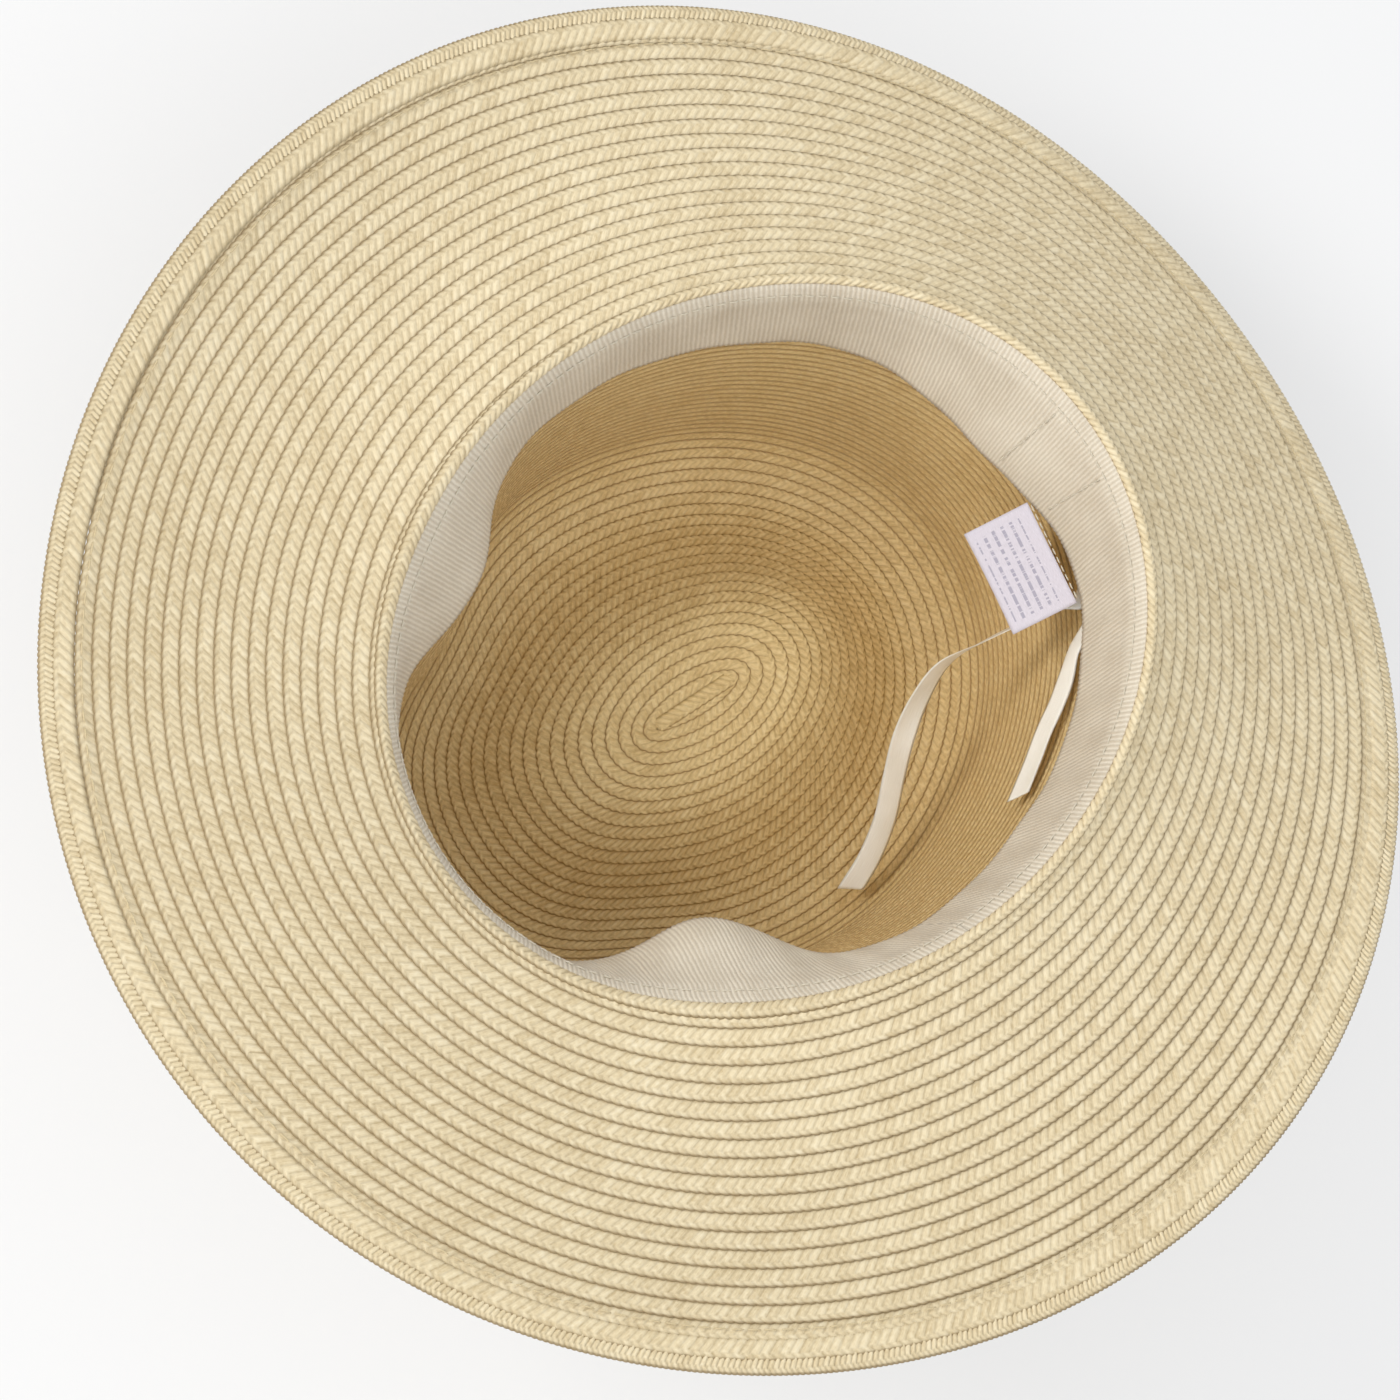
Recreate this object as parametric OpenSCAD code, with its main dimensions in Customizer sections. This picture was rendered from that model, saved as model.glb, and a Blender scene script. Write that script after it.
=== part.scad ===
/* [Head opening] */
// Length of the opening inside the sweatband, front to back
head_len = 192; // [165:1:215]
// Width of the opening inside the sweatband
head_wid = 163; // [140:1:185]

/* [Crown] */
// Height of the brim line above the ridge that the hat lies on
crown_h = 115; // [90:1:140]
// How far the ridge of the crown lies inside the brim line
ridge_inset = 29; // [22:1:34]
// Radius of the bend between the side and the tip
ridge_r = 15; // [10:1:20]
// Height of the dent pressed into the tip
dent_h = 24; // [10:1:32]
// How far the ridge rises at the front, where the dent runs out
front_dip = 7; // [0:1:12]
// Depth of the two pinches at the front of the crown
pinch_in = 13; // [0:1:16]
// Angle of each pinch from the middle of the front
pinch_angle = 54; // [40:1:65]

/* [Brim] */
// Width of the whole brim, measured along its surface
brim_w = 85; // [60:1:105]
// How much wider the brim is on the plain side than on the middle line
brim_lean = 3; // [0:0.5:5]
// Rise of the front edge from the brim line, in degrees; the hat lies upside down
brim_front = 14; // [-5:1:20]
// Rise of the back edge, negative where it droops to the table
brim_back = -36; // [-45:1:0]
// Rise of the edge at the side of the bow
brim_left = -5; // [-20:1:10]
// Rise of the edge at the plain side
brim_right = 0; // [-20:1:10]
// How much steeper both sides leave the crown than they reach the edge
side_cup = 19; // [0:1:24]

/* [Straw] */
// Thickness of the lapped braid
braid_t = 1.8; // [1.2:0.1:2.6]
// Width of the finishing row around the edge
edge_w = 9; // [7:0.5:12]
// Thickness of the finishing row
edge_t = 2.6; // [2.6:0.1:3.4]
// Gap left between straw pieces that butt together
seam = 0.15; // [0.1:0.05:0.3]

/* [Sweatband] */
// Width of the sweatband
band_w = 34; // [26:1:42]
// Thickness of the sweatband
band_t = 0.9; // [0.6:0.1:1.4]
// Room between the sweatband and the straw, where the tape runs
band_room = 1.4; // [1.3:0.1:2.5]
// How far the free edge of the sweatband stands in at the pinches
band_bulge = 11; // [0:1:14]
// How far it stands in at the back
back_bulge = 9; // [0:1:12]

/* [Size tape] */
// Width of the satin tape
tape_w = 6; // [4:0.5:8]
// Thickness of the satin tape
tape_t = 0.6; // [0.4:0.1:0.8]

/* [Care label] */
// Width of the label, along its sewn side
label_w = 28; // [20:1:34]
// Length of the label, from its sewn side
label_len = 18; // [12:1:24]
// Thickness of the label
label_t = 0.5; // [0.4:0.1:0.8]
// How far the label points down into the crown, in degrees
label_tilt = 33; // [20:1:60]

/* [Hatband] */
// Distance from the brim line to the ribbon
ribbon_at = 7; // [4:1:12]
// Width of the ribbon around the crown
ribbon_w = 36; // [20:1:44]
// Thickness of the ribbon
ribbon_t = 0.9; // [0.6:0.1:1.4]
// Length of the flat bow
bow_len = 62; // [45:1:80]
// Width of the knot that holds the bow
knot_w = 15; // [10:1:20]

/* [Hidden] */

// Clearance between cloth, thread and straw
gap = 0.3;
thread = 0.5;
// Distance from a cut or folded edge to its row of stitches
stitch_in = 1.5;
// Where the sweatband starts below the brim line, and its row of stitches
band_top = 1.5;
band_stitch = 3.5;
// Bare end at each end of the seams of the sweatband
seam_end = 4;
seam_angles = [-8, 6];
// Room between the free edge of the sweatband and the tape in its hem
hem_in = 2;
// Radius of the closed middle of the tip
core_r = 4;
// How far the label's sewn side drops clear of the sweatband's hem
label_drop = 3.7;
// Distance from the ribbon's edges to its tacks, and where the tacks are
tack_in = 2.5;
tack_angles = [20, 65, 115, 245, 295, 340];
// Shape of the bow: height under the knot, how much it widens, and the knot's height
bow_narrow = 0.72;
bow_widen = 0.26;
knot_tall = 0.42;
bow_layers = 2.4;
knot_layers = 1.6;
// Facets around the hat, and their angle
facets = 72;
turn = 360 / facets;

// The brim line, on the inner face of the straw
open_a = head_len / 2 + band_t + band_room;
open_b = head_wid / 2 + band_t + band_room;

// Crown profile: a straight side, the ridge bend, and the tip to its middle
rise = crown_h - braid_t - ridge_r;
slant = norm([rise, ridge_inset]);
side_tilt = atan2(ridge_inset, rise) - asin(ridge_r / slant);
side_len = (ridge_inset - ridge_r * cos(side_tilt)) / sin(side_tilt);
bend_len = ridge_r * (90 - side_tilt) * PI / 180;
ridge_s = side_len + bend_len;
tip_s = ridge_s + open_b - ridge_inset;

// Places along that profile and around the hat
front = 270;
back = 90;
left = 180;
pinch_s = 0.65 * crown_h;
pinch_reach = 45;
pinch_spread = 20;
dip_spread = 28;
dip_reach = 30;
dent_edge = 0.75;
back_bulge_at = 100;
back_bulge_spread = 22;

// Centre of the brim's outline, which becomes the origin
front_reach = open_a + brim_w * cos(brim_front) + edge_t * sin(brim_front);
back_reach = open_a + brim_w * cos(brim_back);
left_reach = open_b + (brim_w - brim_lean) * cos(brim_left);
right_reach = open_b + (brim_w + brim_lean) * cos(brim_right);
centre_x = (left_reach - right_reach) / 2;
centre_y = (front_reach - back_reach) / 2;

function turned(a, b) = ((a - b + 540) % 360) - 180;
function bell(x, spread) = exp(-pow(x / spread, 2));
function smooth(x) = let (c = min(1, max(0, x))) c * c * (3 - 2 * c);
function unit(v) = v / norm(v);
function ring_point(grow, th, z) =
    [centre_x + (open_b + grow) * cos(th), centre_y + (open_a + grow) * sin(th), z];

// Side profile at distance s below the brim line: [inset, height]
function profile(s) =
    s < side_len ? [s * sin(side_tilt), crown_h - s * cos(side_tilt)]
    : s < ridge_s ? let (a = side_tilt + (s - side_len) / ridge_r * 180 / PI)
        [ridge_inset - ridge_r * cos(a), braid_t + ridge_r * (1 - sin(a))]
    : [ridge_inset + s - ridge_s, braid_t];
function pinched(th, s) = pinch_in * bell(s - pinch_s, pinch_reach)
    * (bell(turned(th, front - pinch_angle), pinch_spread)
        + bell(turned(th, front + pinch_angle), pinch_spread));
function dented(s) = dent_h * smooth((s - ridge_s) / (tip_s - ridge_s) / dent_edge);
function dipped(th, s) = front_dip * bell(turned(th, front), dip_spread) * bell(s - ridge_s, dip_reach);

// Inner face of the crown, and a point at depth d outside it
function crown(th, s) = let (p = profile(s))
    ring_point(-p[0] - pinched(th, s), th, p[1] + dented(s) + dipped(th, s));
function crown_out(th, s) = unit(cross(crown(th, s + 0.5) - crown(th, s - 0.5),
    crown(th + 1, s) - crown(th - 1, s)));
function crown_off(th, s, d) = crown(th, s) + d * crown_out(th, s);

// Upper face of the brim, and a point at depth d below it
function brim_rise(th, u) = let (turn_back = th - back)
    (brim_front + brim_back + brim_left + brim_right) / 4
    + (brim_back - brim_front) / 2 * cos(turn_back)
    + (brim_left - brim_right) / 2 * sin(turn_back)
    + (brim_front + brim_back - brim_left - brim_right) / 4 * cos(2 * turn_back)
    - side_cup * (1 - u / brim_w) * pow(sin(turn_back), 2);
function brim_top(th, u) = let (run = u * (1 + brim_lean / brim_w * cos(th)), a = brim_rise(th, u))
    ring_point(run * cos(a), th, crown_h + run * sin(a));
function brim_down(th, u) = unit(cross(brim_top(th + 1, u) - brim_top(th - 1, u),
    brim_top(th, u + 0.5) - brim_top(th, u - 0.5)));
function brim_off(th, u, d) = brim_top(th, u) + d * brim_down(th, u);

// How far the sweatband stands in from the straw
function stand_in(th, s) = smooth(s / band_w) * (
    band_bulge * (0.75 * bell(turned(th, front - pinch_angle), 16)
        + 1.2 * bell(turned(th, front + pinch_angle), 15))
    + back_bulge * bell(turned(th, back_bulge_at), back_bulge_spread));
function band_off(th, s, d) = crown_off(th, s, -band_room - stand_in(th, s) + d);

// Skins a stack of rings of points; a closed stack joins its last ring to its first
module skin(rings, closed = true) {
    n = len(rings[0]);
    m = len(rings);
    walls = [for (i = [0 : m - (closed ? 1 : 2)], j = [0 : n - 1], k = [0, 1])
        let (a = i * n + j, b = i * n + (j + 1) % n, c = (i + 1) % m * n + (j + 1) % n,
            d = (i + 1) % m * n + j)
        k == 0 ? [a, b, c] : [a, c, d]];
    ends = closed ? [] : concat(
        [for (j = [0 : n - 1]) [m * n, (j + 1) % n, j]],
        [for (j = [0 : n - 1]) [m * n + 1, (m - 1) * n + j, (m - 1) * n + (j + 1) % n]]);
    middles = closed ? [] : [middle(rings[0]), middle(rings[m - 1])];
    polyhedron([for (r = rings) each r, each middles], concat(walls, ends));
}
function middle(ring) = [for (i = [0 : 2]) sum([for (p = ring) p[i]]) / len(ring)];
function sum(v, i = 0) = i == len(v) ? 0 : v[i] + sum(v, i + 1);

// Rounds of the stack: where = [distance along, depth], kind picks the surface
function lay(kind, th, at) = kind == "crown" ? crown_off(th, at[0], at[1])
    : kind == "brim" ? brim_off(th, at[0], at[1]) : band_off(th, at[0], at[1]);
function round_of(kind, at) = [for (i = [0 : facets - 1]) lay(kind, i * turn, at)];
function strip(from, to, steps, near, far) = concat(
    [for (i = [0 : steps]) [from + (to - from) * i / steps, near]],
    [for (i = [steps : -1 : 0]) [from + (to - from) * i / steps, far]]);

module hoop(kind, section) {
    skin([for (at = section) round_of(kind, at)]);
}

// A piece that covers only part of the way round, from angle a0 to a1
module sector(kind, section, a0, a1) {
    steps = max(1, ceil((a1 - a0) / turn));
    skin([for (i = [steps : -1 : 0]) [for (at = section) lay(kind, a0 + (a1 - a0) * i / steps, at)]],
        closed = false);
}

// Braid sewn in a spiral from the middle of the tip out to the ridge
module crown_tip() {
    section = strip(tip_s - core_r, ridge_s + seam, 10, 0, braid_t);
    color("burlywood") skin([for (at = section) round_of("crown", at)], closed = false);
}

// The side and the brim meet in a mitre, whose outer corner this finds
function corner(th) = let (a = crown_out(th, 0), b = brim_down(th, 0))
    crown(th, 0) + (a + b) * braid_t / (1 + a * b);
function corner_round(drop) = [for (i = [0 : facets - 1]) corner(i * turn) - [0, 0, drop]];

module crown_side() {
    rows = 11;
    step = ridge_s / rows;
    color("burlywood") skin(concat(
        [for (i = [rows : -1 : 0]) round_of("crown", [max(seam, i * step), 0])],
        [corner_round(seam)],
        [for (i = [1 : rows]) round_of("crown", [i * step, braid_t])]));
}

module brim() {
    rows = 8;
    step = (brim_w - edge_w - seam) / rows;
    color("wheat") skin(concat(
        [for (i = [0 : rows]) round_of("brim", [i * step, 0])],
        [for (i = [rows : -1 : 1]) round_of("brim", [i * step, braid_t])],
        [corner_round(0)]));
}

// The widest row, sewn last, with its rounded rim
module brim_edge() {
    lip = (edge_t - braid_t) / 2;
    start = brim_w - edge_w;
    color("wheat") hoop("brim", [[start, -lip / 2], [start + edge_w / 2, -lip],
        [brim_w - edge_t / 3, -lip / 2], [brim_w, braid_t / 2],
        [brim_w - edge_t / 3, braid_t + lip / 2], [start + edge_w / 2, braid_t + lip],
        [start, braid_t + lip / 2]]);
}

// Line of stitches that holds the finishing row to the row inside it
module edge_stitching() {
    at = brim_w - edge_w - stitch_in;
    color("tan") hoop("brim", strip(at - thread, at + thread, 1, -gap - thread, -gap));
}

module sweatband() {
    color("antiquewhite") hoop("band", strip(band_w, band_top, 6, -band_t, 0));
}

// Line of stitches near the brim line, through the top of the sweatband
module sweatband_stitching() {
    color("ivory") hoop("band",
        strip(band_stitch + 2 * thread, band_stitch, 1, -band_t - gap - thread, -band_t - gap));
}

// The sweatband's two ends meet at the back under two short seams
module sweatband_seam() {
    for (at = seam_angles)
        color("ivory") sector("band",
            strip(2 * seam_end, band_w - seam_end, 5, -band_t - gap, -band_t - gap - thread),
            back + at, back + at + 0.4);
}

// Tape inside the hem of the sweatband, all the way round but for the slit at the back
slit_at = 62;
slit = 12;
module tape_run() {
    hem = band_w - tape_w - hem_in;
    near = band_room - tape_t - gap;
    color("ivory") sector("band", strip(hem + tape_w, hem, 1, near, near + tape_t),
        slit_at + slit / 2, slit_at + 360 - slit / 2);
}

// Care label, flat on its sewn side and pointing down into the crown
label_at = 75;
label_turn = -8;
label_root = band_off(label_at, band_w - hem_in / 2, -band_t) + [0, -label_drop, 0];
module on_label() {
    translate(label_root) rotate([0, 0, label_turn]) rotate([label_tilt, 0, 0]) children();
}

module care_label() {
    color("lavender") on_label() translate([-label_w / 2, -label_len, -label_t / 2])
        cube([label_w, label_len, label_t]);
}

module label_stitching() {
    color("ivory") on_label() translate([stitch_in - label_w / 2, gap, -thread / 2])
        cube([label_w - 2 * stitch_in, thread, thread]);
}

module hatband() {
    color("saddlebrown") hoop("crown",
        strip(ribbon_at + ribbon_w, ribbon_at, 4, braid_t + gap, braid_t + gap + ribbon_t));
}

// The ribbon's end, lapped over its start under the bow
ribbon_out = braid_t + gap + ribbon_t;
ribbon_mid = ribbon_at + ribbon_w / 2;
function around(mm) = mm / open_a * 180 / PI;
module hatband_overlap() {
    reach = around(bow_len / 2 - 6);
    color("saddlebrown") sector("crown", strip(ribbon_at + ribbon_w, ribbon_at, 2, ribbon_out + gap,
        ribbon_out + gap + ribbon_t), left - reach, left + reach);
}

// Flat bow: two folded loops that narrow under the knot
bow_in = ribbon_out + gap + ribbon_t + gap;
bow_t = bow_layers * ribbon_t;
module bow_loops() {
    half = around(bow_len / 2);
    function tall(a) = ribbon_w / 2 * (bow_narrow + bow_widen * smooth(abs(a - left) / half * 1.4));
    color("saddlebrown") skin([for (i = [12 : -1 : 0]) let (a = left - half + half * i / 6)
        [for (at = strip(ribbon_mid + tall(a), ribbon_mid - tall(a), 2, bow_in, bow_in + bow_t))
            lay("crown", a, at)]], closed = false);
}

module bow_knot() {
    half = around(knot_w / 2);
    from = bow_in + bow_t + gap;
    color("saddlebrown") sector("crown", strip(ribbon_mid + ribbon_w * knot_tall,
        ribbon_mid - ribbon_w * knot_tall, 2, from, from + knot_layers * ribbon_t), left - half, left + half);
}

// Short bar stitches that hold the ribbon to the straw
module hatband_tacks() {
    for (a = tack_angles, s = [ribbon_at + tack_in, ribbon_at + ribbon_w - tack_in])
        color("saddlebrown") sector("crown",
            strip(s + 1, s, 1, ribbon_out + gap, ribbon_out + gap + thread), a, a + 2);
}

// The tape's two ends leave the slit and hang in the crown; each point has the side it faces
long_route = [[29.5, 91.6, 85], [29.3, 91, 80], [28.7, 88.5, 76.5], [27.5, 84, 73], [26.5, 79, 68],
    [25, 71, 58], [24, 62, 47], [28, 54, 38], [34, 47, 31], [41, 41, 25], [49, 34, 20], [55, 26, 16],
    [59, 18, 13]];
long_face = [[1, 3, 0], [1, 3, 0], [2, 1, 0], [1, 0, 0], [1, 0, 0], [1, 0, 0], [1, 0, 0.6],
    [0.6, 0, 1], [0, 0, 1], [0, 0, 1], [0, 0, 1], [0, 0, 1], [0, 0, 1]];
short_route = [[37.3, 87, 85], [37.1, 86.4, 79.5], [39, 82.3, 76.5], [44, 77, 74], [48, 72, 72],
    [52, 66, 70], [57, 59, 69], [62, 51, 69]];
short_face = [[1, 2, 0], [1, 2, 0], [1, 1.4, -0.3], [0.7, 1, -0.6], [0.7, 1, -0.6], [1, 1, -0.8],
    [1, 1, -0.8], [1, 0.8, -0.8]];
module tail(route, face) {
    n = len(route);
    skin([for (i = [0 : n - 1])
        let (along = unit(route[min(i + 1, n - 1)] - route[max(i - 1, 0)]),
            side = unit(cross(along, face[i])), up = unit(cross(side, along)))
        [for (k = [0 : 7]) route[i] + side * tape_w / 2 * cos(k * 45) + up * tape_t * 0.6 * sin(k * 45)]],
        closed = false);
}
module tape_tail_long() { color("ivory") tail(long_route, long_face); }
module tape_tail_short() { color("ivory") tail(short_route, short_face); }

crown_tip();
crown_side();
brim();
brim_edge();
edge_stitching();
sweatband();
sweatband_stitching();
sweatband_seam();
tape_run();
tape_tail_long();
tape_tail_short();
care_label();
label_stitching();
hatband();
hatband_overlap();
bow_loops();
bow_knot();
hatband_tacks();
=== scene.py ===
import math

import bpy
import numpy as np
from mathutils import Matrix, Vector


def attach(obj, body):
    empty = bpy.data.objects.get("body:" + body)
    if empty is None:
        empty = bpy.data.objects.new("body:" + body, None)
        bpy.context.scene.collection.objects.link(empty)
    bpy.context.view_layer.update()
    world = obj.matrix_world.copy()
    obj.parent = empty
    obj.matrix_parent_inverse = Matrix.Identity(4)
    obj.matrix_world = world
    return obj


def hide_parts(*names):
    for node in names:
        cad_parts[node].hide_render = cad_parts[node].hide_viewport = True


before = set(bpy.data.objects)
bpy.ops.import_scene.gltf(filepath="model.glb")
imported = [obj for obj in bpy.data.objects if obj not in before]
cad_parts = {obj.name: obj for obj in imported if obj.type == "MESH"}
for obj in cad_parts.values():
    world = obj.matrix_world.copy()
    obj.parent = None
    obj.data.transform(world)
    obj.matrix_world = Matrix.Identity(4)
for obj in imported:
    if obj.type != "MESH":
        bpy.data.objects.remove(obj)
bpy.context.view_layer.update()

# ---------------------------------------------------------------- sizes, in mm, as in the CAD
HEAD_LEN, HEAD_WID = 192, 163
CROWN_H, RIDGE_INSET, RIDGE_R, DENT_H, FRONT_DIP = 115, 29, 15, 24, 7
PINCH_IN, PINCH_ANGLE = 13, 54
BRIM_W, BRIM_LEAN = 85, 3
BRIM_FRONT, BRIM_BACK, BRIM_LEFT, BRIM_RIGHT, SIDE_CUP = 14, -36, -5, 0, 19
BRAID_T, EDGE_W, EDGE_T = 1.8, 9, 2.6
BAND_W, BAND_T, BAND_ROOM, BAND_BULGE, BACK_BULGE = 34, 0.9, 1.4, 11, 9
TAPE_W, TAPE_T = 6, 0.6
LABEL_W, LABEL_LEN, LABEL_T, LABEL_TILT, LABEL_TURN, LABEL_AT = 28, 18, 0.5, 33, -8, 75
RIBBON_W, RIBBON_T, BOW_LEN, KNOT_W = 36, 0.9, 62, 15
GAP, THREAD = 0.3, 0.5
CORE_PULL, CORE_REACH = 5.0, 32     # the tip's innermost ovals are shorter than the CAD's, out to CORE_REACH
PINCH_AT, PINCH_TALL, PINCH_WIDE = 0.65, 45, 20
DENT_SLOPE, DIP_WIDE, DIP_LONG = 0.75, 28, 30
FRONT, BACK, LEFT = 270, 90, 180
MM = 0.001

OPEN_A = HEAD_LEN / 2 + BAND_T + BAND_ROOM
OPEN_B = HEAD_WID / 2 + BAND_T + BAND_ROOM
RISE = CROWN_H - BRAID_T - RIDGE_R
TILT = math.atan2(RIDGE_INSET, RISE) - math.asin(RIDGE_R / math.hypot(RISE, RIDGE_INSET))
SIDE_LEN = (RIDGE_INSET - RIDGE_R * math.cos(TILT)) / math.sin(TILT)
RIDGE_S = SIDE_LEN + RIDGE_R * (math.pi / 2 - TILT)
TIP_S = RIDGE_S + OPEN_B - RIDGE_INSET


def cosd(a):
    return np.cos(np.radians(a))


def sind(a):
    return np.sin(np.radians(a))


CENTRE_X = (BRIM_W - BRIM_LEAN) * cosd(BRIM_LEFT) / 2 - (BRIM_W + BRIM_LEAN) * cosd(BRIM_RIGHT) / 2
CENTRE_Y = (BRIM_W * cosd(BRIM_FRONT) + EDGE_T * sind(BRIM_FRONT) - BRIM_W * cosd(BRIM_BACK)) / 2


# ---------------------------------------------------------------- the hat's surfaces
def turned(a, b):
    return (a - b + 540) % 360 - 180


def bell(x, spread):
    return np.exp(-((x / spread) ** 2))


def smooth(x):
    c = np.clip(x, 0, 1)
    return c * c * (3 - 2 * c)


def unit(v):
    return v / np.linalg.norm(v, axis=-1, keepdims=True)


def ring_point(grow, th, z):
    return np.stack([CENTRE_X + (OPEN_B + grow) * cosd(th), CENTRE_Y + (OPEN_A + grow) * sind(th), z], -1)


def crown(th, s):
    """Inner face of the crown at angle th and distance s below the brim line."""
    a = TILT + (s - SIDE_LEN) / RIDGE_R
    inset = np.where(s < SIDE_LEN, s * math.sin(TILT),
                     np.where(s < RIDGE_S, RIDGE_INSET - RIDGE_R * np.cos(a), RIDGE_INSET + s - RIDGE_S))
    z = np.where(s < SIDE_LEN, CROWN_H - s * math.cos(TILT),
                 np.where(s < RIDGE_S, BRAID_T + RIDGE_R * (1 - np.sin(a)), BRAID_T))
    pinch = PINCH_IN * bell(s - PINCH_AT * CROWN_H, PINCH_TALL) * (
        bell(turned(th, FRONT - PINCH_ANGLE), PINCH_WIDE) + bell(turned(th, FRONT + PINCH_ANGLE), PINCH_WIDE))
    dent = DENT_H * smooth((s - RIDGE_S) / (TIP_S - RIDGE_S) / DENT_SLOPE)
    dip = FRONT_DIP * bell(turned(th, FRONT), DIP_WIDE) * bell(s - RIDGE_S, DIP_LONG)
    p = ring_point(-inset - pinch, th, z + dent + dip)
    p[..., 1] -= CORE_PULL * smooth(1 - (TIP_S - s) / CORE_REACH) * sind(th)
    return p


def brim(th, u):
    """Upper face of the brim at angle th and distance u out from the brim line."""
    t = th - BACK
    rise = ((BRIM_FRONT + BRIM_BACK + BRIM_LEFT + BRIM_RIGHT) / 4 + (BRIM_BACK - BRIM_FRONT) / 2 * cosd(t)
            + (BRIM_LEFT - BRIM_RIGHT) / 2 * sind(t)
            + (BRIM_FRONT + BRIM_BACK - BRIM_LEFT - BRIM_RIGHT) / 4 * cosd(2 * t)
            - SIDE_CUP * (1 - u / BRIM_W) * sind(t) ** 2)
    run = u * (1 + BRIM_LEAN / BRIM_W * cosd(th))
    return ring_point(run * cosd(rise), th, CROWN_H + run * sind(rise))


CORNER = 3.0    # reach of the rounding where the side turns into the brim


def straw(th, q):
    """Visible face of the straw at distance q along it from the middle of the tip."""
    th, q = np.broadcast_arrays(th, q)
    out = q - TIP_S
    p = np.where((out < 0)[..., None], crown(th, -out), brim(th, out))
    near = np.abs(out) < CORNER
    if near.any():
        t, w = th[near], (out[near] / CORNER + 1) / 2
        w = w[..., None]
        reach = np.full_like(t, CORNER)
        p[near] = ((1 - w) ** 2 * crown(t, reach) + 2 * w * (1 - w) * crown(t, np.zeros_like(t))
                   + w * w * brim(t, reach))
    return p


def off(surface, th, s, d, turn):
    """A point at depth d behind a surface; turn is 1 or -1, for the way its normal points."""
    th, s = np.broadcast_arrays(np.asarray(th, float), np.asarray(s, float))
    along = surface(th, s + 0.25) - surface(th, s - 0.25)
    n = unit(np.cross(along, surface(th + 0.3, s) - surface(th - 0.3, s)))
    return surface(th, s) + turn * np.asarray(d)[..., None] * n


def straw_off(th, q, d):
    return off(straw, th, q, d, -1)


def crown_off(th, s, d):
    return off(crown, th, s, d, 1)


def stand_in(th, s):
    """How far the sweatband stands away from the crown: over the two pinches and at the back."""
    left = 0.75 * bell(turned(th, FRONT - PINCH_ANGLE), 16)
    right = 1.2 * bell(turned(th, FRONT + PINCH_ANGLE), 15)
    return smooth(s / BAND_W) * (BAND_BULGE * (left + right) + BACK_BULGE * bell(turned(th, 100), 22))


BAND_SEWN, BAND_FREE = 1, 8         # it is tight to the straw at the first and clear of it from the second
BAND_SUNK = 0.75                    # how far its sewn edge is pulled into the straw


def band_off(th, s, d):
    """The sweatband, whose top edge is sewn tight to the straw."""
    th, s, d = np.broadcast_arrays(th, s, d)
    tight = smooth((BAND_FREE - s) / (BAND_FREE - BAND_SEWN))[..., None]
    hanging = crown_off(th, s, -BAND_ROOM - stand_in(th, s) + d)
    return hanging * (1 - tight) + straw_off(th, TIP_S - s, d + BAND_SUNK) * tight


# ---------------------------------------------------------------- camera, at the photograph's angle
CAM_TILT, CAM_TURN, CAM_ROLL = 17.5, 4.87, -51.66       # degrees: from straight above, around, in the picture
DISTANCE, PIXELS_PER_MM = 1150, 4.2
FRAME, SENSOR = 1400, 36
tau, az, roll = math.radians(CAM_TILT), math.radians(CAM_TURN), math.radians(CAM_ROLL)
v = Vector((math.sin(tau) * math.sin(az), -math.sin(tau) * math.cos(az), math.cos(tau)))
r = Vector((math.cos(az), math.sin(az), 0))
u = v.cross(r)
right = math.cos(roll) * r - math.sin(roll) * u
up = math.sin(roll) * r + math.cos(roll) * u
aim = Vector((CENTRE_X, CENTRE_Y, CROWN_H))
cam = bpy.data.objects.new("camera", bpy.data.cameras.new("camera"))
bpy.context.scene.collection.objects.link(cam)
cam.data.sensor_width = SENSOR
cam.data.lens = SENSOR * PIXELS_PER_MM * DISTANCE / FRAME
cam.data.shift_x = -76.6 / FRAME
cam.data.shift_y = -62.6 / FRAME
cam.data.clip_start, cam.data.clip_end = 0.05, 20
cam.matrix_world = Matrix((
    (right.x, up.x, v.x, (aim.x + DISTANCE * v.x) * MM),
    (right.y, up.y, v.y, (aim.y + DISTANCE * v.y) * MM),
    (right.z, up.z, v.z, (aim.z + DISTANCE * v.z) * MM),
    (0, 0, 0, 1)))
bpy.context.scene.camera = cam


# ---------------------------------------------------------------- materials
def nodes_of(name):
    m = bpy.data.materials.new(name)
    m.use_nodes = True
    m.node_tree.nodes.clear()
    return m, m.node_tree.nodes, m.node_tree.links


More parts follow.
